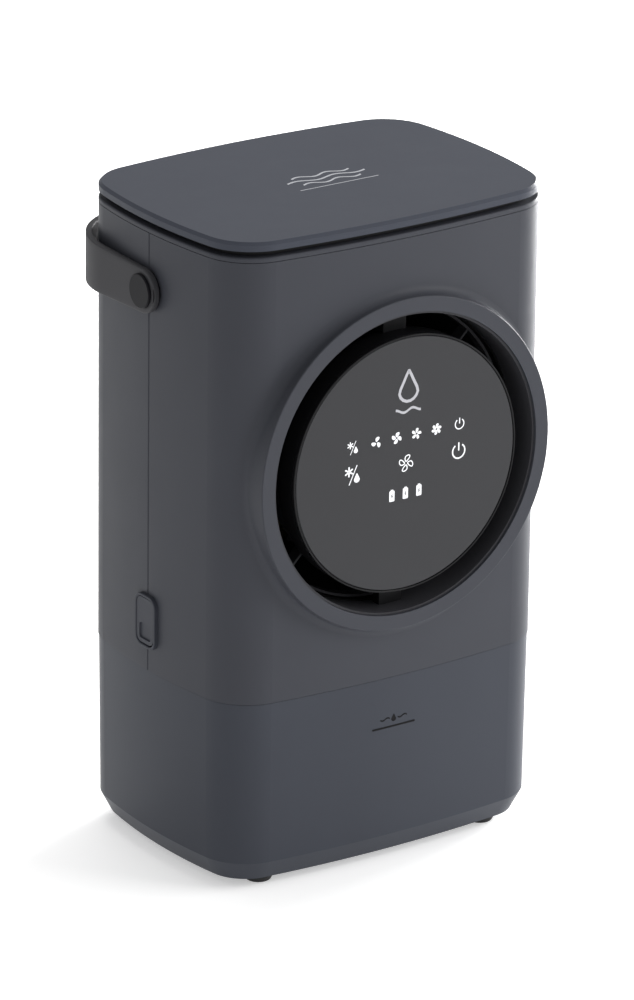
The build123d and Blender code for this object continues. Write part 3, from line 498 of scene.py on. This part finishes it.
# %% Finish of every node
dressing = {
    case_finish: ("front_shell", "rear_shell", "top_collar", "rear_grille"),
    lid_finish_with_painted_top_light: ("lid_plate",),
    latch_finish: ("latch_frames", "latch_button_left", "latch_button_right"),
    tank_finish: ("water_tank",),
    panel_finish: ("display_glass",),
    bezel_finish: ("display_bezel",),
    strap_finish: ("carry_strap",),
    cap_finish: ("pivot_pins", "pivot_washers"),
    seal_finish: ("rubber_feet", "tank_seal", "lid_gasket"),
    duct_finish_painted_shade: ("outlet_duct", "fan_shroud"),
    liner_finish: ("outlet_liner", "guide_vanes"),
    strut_finish: ("pod_shell",),
    inner_finish: (
        "motor_mount", "housing_floor", "pad_frame", "drip_tray", "ice_tray",
        "battery_tray", "light_mask", "charge_port",
    ),
    fan_finish: ("fan_rotor", "rotor_cap"),
    pump_finish: ("water_pump", "riser_tube"),
    screw_finish: (
        "shell_screws", "motor_screws", "shroud_screws", "motor_shaft", "latch_pins",
        "latch_spring_left", "latch_spring_right",
    ),
    motor_finish: ("fan_motor",),
    cell_finish: ("battery_cells",),
    board_finish: ("control_board", "touch_board"),
    filter_finish: ("dust_filter",),
    wick_finish: ("wick_pad",),
}
for material, names in dressing.items():
    for name in names:
        for slot in nodes[name].material_slots:
            slot.material = material
dressed = [name for names in dressing.values() for name in names]
print("nodes without a finish:", sorted(set(nodes) - set(dressed)))

# %% [markdown]
# ## Tools for small pieces
# A new piece begins as a bmesh, an editable mesh that the operators shape. When it is
# done its normals are turned outwards, it becomes an object at the origin with its place
# in its mesh, and it gets a finish and the CAD body that it rides on.

# %% Piece tools
def settle(shape, name, body, material, smooth=True):
    """Turns a finished bmesh into an object that rides on a CAD body."""
    bmesh.ops.recalc_face_normals(shape, faces=shape.faces)
    for face in shape.faces:
        face.smooth = smooth
    mesh = bpy.data.meshes.new(name)
    shape.to_mesh(mesh)
    shape.free()
    mesh.materials.append(material)
    piece = bpy.data.objects.new(name, mesh)
    scene.collection.objects.link(piece)
    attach(piece, body)
    print(name, "has", len(mesh.polygons), "faces")
    return piece


def on_wall(node, start, direction):
    """Where a ray meets a CAD node, and the turn that lays a flat symbol on it there."""
    hit, place, normal, _ = nodes[node].ray_cast(Vector(start), Vector(direction))
    assert hit, node
    across = Vector((1, 0, 0))
    turn = Matrix((across, normal.cross(across), normal)).transposed().to_4x4()
    return place, turn


# local x stays across, local y goes up and local z comes out of the front
FRONT_FACING = Matrix(((1, 0, 0, 0), (0, 0, -1, 0), (0, 1, 0, 0), (0, 0, 0, 1)))
print("piece tools ready")

# %% [markdown]
# ## Strokes for symbols
# A symbol printed on an appliance is made of a few strokes: round-ended bars, arcs,
# petals and drops. Each helper draws one stroke flat, with x across and y up, from a
# circle or an edge that the operators stretch, spin or inset.

# %% Strokes
STROKE_SIDES = 16
ARC_STEPS = 48
WAVE_STEPS = 36
PETAL_LEAN = 0.28
PETAL_ROOT = 0.45
DROP_PINCH = 0.55
DROP_STRETCH = 0.75


def moved(shape, verts, centre, turn=0.0):
    """Turns vertices about the origin, then moves them to a centre."""
    matrix = Matrix.Translation((*centre, 0)) @ Matrix.Rotation(turn, 4, "Z")
    bmesh.ops.transform(shape, matrix=matrix, verts=verts)


def disc(shape):
    """Filled circle of radius 1 with no vertex on its upright middle line."""
    return bmesh.ops.create_circle(
        shape,
        cap_ends=True,
        segments=STROKE_SIDES,
        radius=1,
        matrix=Matrix.Rotation(pi / STROKE_SIDES, 4, "Z"),
    )["verts"]


def bar(shape, start, end, width):
    """Round-ended bar from one point to another."""
    run = Vector(end) - Vector(start)
    verts = disc(shape)
    bmesh.ops.scale(shape, vec=(width / 2, width / 2, 1), verts=verts)
    far_half = [vert for vert in verts if vert.co.x > 0]
    bmesh.ops.translate(shape, vec=(run.length, 0, 0), verts=far_half)
    moved(shape, verts, start, atan2(run.y, run.x))


def arc(shape, centre, radius, width, start, sweep):
    """Part of a ring, from a start angle through a sweep."""
    ends = [shape.verts.new((radius + side * width / 2, 0, 0)) for side in (-1, 1)]
    edge = shape.edges.new(ends)
    steps = int(sweep / tau * ARC_STEPS)
    before = set(shape.verts) - set(ends)
    bmesh.ops.spin(
        shape, geom=[*ends, edge], cent=(0, 0, 0), axis=(0, 0, 1), angle=sweep, steps=steps
    )
    made = [vert for vert in shape.verts if vert not in before]
    moved(shape, made, centre, start)


def hollowed(shape, verts, outline):
    """Turns a filled stroke into an outline and gives back its outer and inner vertices."""
    face = verts[0].link_faces[0]
    bmesh.ops.inset_region(
        shape, faces=[face], thickness=outline, use_boundary=True, use_even_offset=True
    )
    bmesh.ops.delete(shape, geom=[face], context="FACES_ONLY")
    found, waiting = set(), [verts[0]]
    while waiting:
        vert = waiting.pop()
        if vert not in found:
            found.add(vert)
            waiting.extend(edge.other_vert(vert) for edge in vert.link_edges)
    return list(found)


def petal(shape, centre, turn, inner, outer, width, outline=0.0):
    """Fan blade: a petal that leans to one side, filled or as an outline."""
    verts = disc(shape)
    for vert in verts:
        along = (vert.co.y + 1) / 2
        lean = PETAL_LEAN * width * along
        vert.co.x = vert.co.x * width / 2 * (PETAL_ROOT + (1 - PETAL_ROOT) * along) + lean
        vert.co.y = inner + (outer - inner) * along
    if outline:
        verts = hollowed(shape, verts, outline)
    moved(shape, verts, centre, turn)


def drop(shape, centre, radius, outline=0.0):
    """Water drop with its point up, filled or as an outline."""
    verts = disc(shape)
    for vert in verts:
        rise = max(0.0, vert.co.y)
        vert.co.x *= radius * (1 - DROP_PINCH * rise)
        vert.co.y *= radius * (1 + DROP_STRETCH * rise)
    if outline:
        verts = hollowed(shape, verts, outline)
    moved(shape, verts, centre)


def wave(shape, centre, length, height, width, cycles=1.5):
    """Wavy ribbon that stands for moving air or water."""
    made = bmesh.ops.create_grid(shape, x_segments=WAVE_STEPS, y_segments=1, size=0.5)["verts"]
    for vert in made:
        swing = height * sin(vert.co.x * tau * cycles)
        vert.co.x *= length
        vert.co.y = vert.co.y * width + swing
    moved(shape, made, centre)


def tablet(shape, centre, width, height, corner):
    """Filled rectangle with rounded corners."""
    made = bmesh.ops.create_grid(shape, x_segments=1, y_segments=1, size=0.5)["verts"]
    bmesh.ops.scale(shape, vec=(width, height, 1), verts=made)
    moved(shape, made, centre)
    if corner:
        bmesh.ops.bevel(
            shape, geom=made, affect="VERTICES", offset=corner, segments=3,
            profile=0.5, material=-1,
        )


print("strokes ready")

# %% [markdown]
# ## Print
# Symbols are screen-printed. The ink stands a tenth of a millimetre proud, has a slightly
# uneven edge sheen, and on the display it is lit from behind, so it also glows faintly.

# %% Print finishes
PRINT_THICKNESS = 0.12 * MM
PRINT_SINK = 0.03 * MM


def ink(name, colour, glow, gloss=0.5):
    """Screen-printed ink with fine pinholes, lit from behind where it glows."""
    finish = Finish(name, Emission_Strength=glow, Specular_IOR_Level=gloss)
    pinholes = finish.noise(0.2 * MM, detail=2.0)
    coverage = finish.noise(2.5 * MM, detail=2.0)
    body = finish.tint(coverage, shade(colour, 0.92), colour)
    return finish.wear(
        Base_Color=body,
        Emission_Color=body,
        Roughness=pinholes * 0.2 + 0.4,
        Normal=finish.relief(pinholes, 0.004 * MM),
    )


icon_ink = ink("lit_symbol_ink", (0.72, 0.73, 0.75), 0.45)
emblem_ink = ink("emblem_ink", (0.42, 0.42, 0.45), 0.1)
bolt_ink = ink("dark_symbol_ink", (0.006, 0.006, 0.007), 0.0, gloss=0.1)
lid_ink = ink("lid_symbol_ink", (0.42, 0.43, 0.46), 0.0)


def printed(shape, name, place, turn, body, material):
    """Thickens flat strokes, stands them on a surface and hands them over as one piece."""
    bmesh.ops.translate(shape, vec=(0, 0, -PRINT_SINK), verts=shape.verts)
    flat = bmesh.ops.extrude_face_region(shape, geom=shape.faces[:], use_keep_orig=True)
    raised = [item for item in flat["geom"] if isinstance(item, bmesh.types.BMVert)]
    bmesh.ops.translate(shape, vec=(0, 0, PRINT_THICKNESS), verts=raised)
    bmesh.ops.transform(shape, matrix=Matrix.Translation(place) @ turn, verts=shape.verts)
    return settle(shape, name, body, material, smooth=False)


# %% [markdown]
# ## Symbols on the display
# The layout is measured from the middle of the display: a small row of indicators above,
# a row of touch symbols on the middle line, the charge below, and an emblem near the top.
# Two snow-or-drop signs, five fans, two power signs and three batteries are enough.

# %% Display symbols
glass_low, glass_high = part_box("display_glass")
display_middle = (glass_low + glass_high) / 2
display_face = Vector((display_middle.x, glass_low.y, display_middle.z))
THIN = 0.55 * MM


def power_sign(shape, centre, radius, width):
    """Open ring with a bar through its gap."""
    gap = radians(34)
    arc(shape, centre, radius, width, pi / 2 + gap, tau - 2 * gap)
    x, y = centre
    bar(shape, (x, y + 0.15 * radius), (x, y + 1.15 * radius), width)


def fan_sign(shape, centre, radius, blades, outline=0.0):
    """Fan seen from the front."""
    for blade in range(blades):
        petal(
            shape, centre, -blade * tau / blades, 0.14 * radius, radius,
            radius * (1.0 if blades < 5 else 0.72), outline,
        )


def cooling_sign(shape, centre, size):
    """Snowflake above a slash and a drop below it."""
    x, y = centre
    for arm in range(6):
        angle = arm * tau / 6 + tau / 12
        near, far = 0.07 * size, 0.24 * size
        flake = (x - 0.24 * size, y + 0.22 * size)
        start = (flake[0] + near * cos(angle), flake[1] + near * sin(angle))
        end = (flake[0] + far * cos(angle), flake[1] + far * sin(angle))
        bar(shape, start, end, 0.09 * size)
    bar(shape, (x - 0.22 * size, y - 0.5 * size), (x + 0.26 * size, y + 0.5 * size), 0.05 * size)
    drop(shape, (x + 0.26 * size, y - 0.26 * size), 0.19 * size)


def symbol_sheet(name, draw, material=icon_ink, lift=0.0):
    """Draws one symbol on the display."""
    shape = bmesh.new()
    draw(shape)
    place = display_face - Vector((0, lift, 0))
    return printed(shape, name, place, FRONT_FACING, "housing", material)


SMALL_ROW = 14.5 * MM
LARGE_ROW = 0.3 * MM
CHARGE_ROW = -15.4 * MM
EMBLEM_ROW = 38.0 * MM
SMALL_FAN = 2.9 * MM
SMALL_SIGN = 6.6 * MM
LARGE_SIGN = 9.4 * MM
SMALL_POWER = 2.6 * MM
LARGE_POWER = 3.7 * MM
LARGE_FAN = 4.3 * MM
THICK = 0.75 * MM
cooling_light_spot = (-31.7 * MM, SMALL_ROW)
power_light_spot = (32.1 * MM, SMALL_ROW)
cooling_key_spot = (-31.6 * MM, LARGE_ROW)
speed_key_spot = (0.2 * MM, LARGE_ROW)
power_key_spot = (31.9 * MM, LARGE_ROW)
fan_columns = {3: -17.7 * MM, 4: -5.7 * MM, 5: 6.1 * MM, 6: 18.2 * MM}

symbol_sheet("cooling_light", lambda shape: cooling_sign(shape, cooling_light_spot, SMALL_SIGN))
for blades, column in fan_columns.items():
    symbol_sheet(
        f"speed_light_{blades - 2}",
        lambda shape: fan_sign(shape, (column, SMALL_ROW), SMALL_FAN, blades),
    )
symbol_sheet("power_light", lambda shape: power_sign(shape, power_light_spot, SMALL_POWER, THIN))
symbol_sheet("cooling_key", lambda shape: cooling_sign(shape, cooling_key_spot, LARGE_SIGN))
symbol_sheet("speed_key", lambda shape: fan_sign(shape, speed_key_spot, LARGE_FAN, 4, THIN))
symbol_sheet("power_key", lambda shape: power_sign(shape, power_key_spot, LARGE_POWER, THICK))

# %% Charge lights and emblem
BATTERY_WIDTH = 3.1 * MM
BATTERY_HEIGHT = 5.6 * MM
BATTERY_CORNER = 0.5 * MM
BATTERY_COLUMNS = (-8.0 * MM, 0.1 * MM, 8.2 * MM)
TIP_WIDTH = BATTERY_WIDTH * 0.45
TIP_HEIGHT = 0.6 * MM
FLASH_WIDTH = 0.42 * MM


def batteries(shape):
    """Three small batteries in a row."""
    for column in BATTERY_COLUMNS:
        tablet(shape, (column, CHARGE_ROW), BATTERY_WIDTH, BATTERY_HEIGHT, BATTERY_CORNER)
        tip = CHARGE_ROW + (BATTERY_HEIGHT + TIP_HEIGHT) / 2
        tablet(shape, (column, tip), TIP_WIDTH, TIP_HEIGHT, 0)


def bolts(shape):
    """A dark flash on each battery, as two slanting strokes."""
    for column in BATTERY_COLUMNS:
        for side in (-1, 1):
            bar(
                shape,
                (column - side * 0.28 * MM, CHARGE_ROW),
                (column + side * 0.12 * MM, CHARGE_ROW + side * 0.85 * MM),
                FLASH_WIDTH,
            )


def emblem(shape):
    """A plain drop outline with a wave under it."""
    drop(shape, (1.0 * MM, EMBLEM_ROW), 6.4 * MM, 1.5 * MM)
    wave(shape, (1.0 * MM, EMBLEM_ROW - 10.2 * MM), 15 * MM, 0.9 * MM, 1.3 * MM)


symbol_sheet("charge_lights", batteries)
symbol_sheet("charge_flashes", bolts, bolt_ink, lift=0.02 * MM)
symbol_sheet("display_emblem", emblem, emblem_ink)

# %% [markdown]
# ## Marks on the lid and on the tank
# The lid carries a pale pictogram of moving air, and the tank a dark line for its highest
# water level with a drop over it. The tank's wall leans with its draft, so a ray finds the
# exact spot of the wall where the mark goes.

# %% Lid pictogram
lid_face = Vector((4.6 * MM, middle_y - 0.5 * MM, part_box("lid_plate")[1].z))
lid_mark = bmesh.new()
for row, length in ((6.5 * MM, 34 * MM), (1.2 * MM, 46 * MM), (-4.1 * MM, 34 * MM)):
    wave(lid_mark, (0, row), length, 1.5 * MM, 1.25 * MM, cycles=2)
bar(lid_mark, (-23 * MM, -10.5 * MM), (23 * MM, -10.5 * MM), 0.6 * MM)
printed(lid_mark, "lid_pictogram", lid_face, Matrix.Identity(4), "lid", lid_ink)

# %% Level mark
LEVEL_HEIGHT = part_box("lid_plate")[1].z - 265.3 * MM
level_spot, level_turn = on_wall("water_tank", (0, cad_low.y - 0.1, LEVEL_HEIGHT), (0, 1, 0))
mark = bmesh.new()
bar(mark, (-13.6 * MM, 0), (11.3 * MM, 0), 1.0 * MM)
drop(mark, (-1.2 * MM, 3.9 * MM), 1.5 * MM)
for side in (-1, 1):
    wave(mark, ((-1.2 + side * 5.2) * MM, 4.4 * MM), 5.6 * MM, 0.55 * MM, 0.75 * MM, cycles=1)
printed(mark, "level_mark", level_spot, level_turn, "tank", bolt_ink)

# %% [markdown]
# ## Carry strap
# The strap is one soft rubber band that runs from pivot to pivot behind the case. It is
# drawn as a flat grid whose columns follow the band's middle line: a straight run, a wide
# round corner and a slightly bowed back. Towards each pivot the columns shorten, which
# gives the round end. Solidify makes it thick and a bevel rounds its long edges.

# %% Strap shape
pivot_low, pivot_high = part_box("pivot_pins")
pivot_z = (pivot_low.z + pivot_high.z) / 2
STRAP_THICKNESS = 3.4 * MM
STRAP_INSIDE = 100.85 * MM
STRAP_REACH = 79.8 * MM
STRAP_CORNER = 42.0 * MM
STRAP_BACK_SLOPE = radians(2)
END_RADIUS = 11.3 * MM
GRIP_HALF = 12.9 * MM
GRIP_FROM = 60 * MM
STRAP_EDGE = 0.7 * MM
STRAP_COLUMNS = 192
STRAP_ROWS = 8
SHARP = radians(60)
MERGE = 0.01 * MM

corner_turn = pi / 2 - STRAP_BACK_SLOPE
back_half = STRAP_INSIDE - STRAP_CORNER * (1 - cos(corner_turn))
back_bow = back_half * STRAP_BACK_SLOPE / 2
corner_start = STRAP_REACH - back_bow - STRAP_CORNER * sin(corner_turn)
straight_run = END_RADIUS + corner_start
corner_run = STRAP_CORNER * corner_turn
half_run = straight_run + corner_run + back_half


def strap_middle(distance):
    """Where the band's inner face is, seen from above, at a distance from its left end."""
    side = -1 if distance < half_run else 1
    run = distance if distance < half_run else 2 * half_run - distance
    if run < straight_run:
        return side * STRAP_INSIDE, run - END_RADIUS
    if run < straight_run + corner_run:
        turn = (run - straight_run) / STRAP_CORNER
        x = STRAP_INSIDE - STRAP_CORNER * (1 - cos(turn))
        return side * x, corner_start + STRAP_CORNER * sin(turn)
    x = max(0.0, half_run - run)
    return side * x, STRAP_REACH - back_bow * (x / back_half) ** 2


def strap_half_width(run):
    """Half the band's width at a distance from its nearer end."""
    if run < END_RADIUS:
        return max(0.0, END_RADIUS**2 - (END_RADIUS - run) ** 2) ** 0.5
    widening = min(1.0, (run - END_RADIUS) / GRIP_FROM)
    return END_RADIUS + (GRIP_HALF - END_RADIUS) * widening


# %% Strap piece
strap = bmesh.new()
bmesh.ops.create_grid(strap, x_segments=STRAP_COLUMNS, y_segments=STRAP_ROWS, size=1)
for vert in strap.verts:
    share = sin(pi / 2 * vert.co.x)
    distance = half_run * (1 + share)
    nearer = min(distance, 2 * half_run - distance)
    across, reach = strap_middle(distance)
    height = vert.co.y * strap_half_width(nearer)
    vert.co = Vector((across, middle_y + reach, pivot_z + height))
bmesh.ops.remove_doubles(strap, verts=strap.verts, dist=MERGE)
bmesh.ops.recalc_face_normals(strap, faces=strap.faces)
bmesh.ops.solidify(strap, geom=strap.faces[:], thickness=-STRAP_THICKNESS)
bmesh.ops.recalc_face_normals(strap, faces=strap.faces)
print("strap reaches x =", round(max(vert.co.x for vert in strap.verts) / MM, 2), "mm")
rim = [
    edge for edge in strap.edges
    if len(edge.link_faces) == 2 and edge.calc_face_angle() > SHARP
]
bmesh.ops.bevel(
    strap, geom=rim, affect="EDGES", offset=STRAP_EDGE, segments=3, profile=0.5, material=-1
)
soft_strap = settle(strap, "soft_carry_strap", "strap", strap_finish)
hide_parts("carry_strap")

# %% [markdown]
# ## Wick pad
# The pad is a stack of stiff paper sheets pressed into waves and glued crest to crest, so
# air passes through the cells while the paper stays wet. One sheet is a grid swung into a
# zigzag; every second sheet is its mirror image, and solidify gives the paper thickness.

# %% Corrugated pad
pad_low, pad_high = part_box("wick_pad")
SHEETS = 18
FOLDS = 30
PAPER = 0.5 * MM
gap = (pad_high.x - pad_low.x - 2 * PAPER) / SHEETS
pad = bmesh.new()
for sheet in range(SHEETS):
    made = bmesh.ops.create_grid(pad, x_segments=FOLDS, y_segments=1, size=0.5)["verts"]
    crest = 1 if sheet % 2 else -1
    for vert in made:
        fold = round((vert.co.x + 0.5) * FOLDS)
        swing = crest * (1 if fold % 2 else -1) * (gap / 2 - PAPER / 2)
        up_share, deep_share = vert.co.x + 0.5, vert.co.y + 0.5
        vert.co = Vector((
            pad_low.x + PAPER + gap * (sheet + 0.5) + swing,
            pad_low.y + (pad_high.y - pad_low.y) * deep_share,
            pad_low.z + (pad_high.z - pad_low.z) * up_share,
        ))
bmesh.ops.solidify(pad, geom=pad.faces[:], thickness=PAPER)
wick = settle(pad, "corrugated_wick", "housing", wick_finish, smooth=False)
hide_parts("wick_pad")
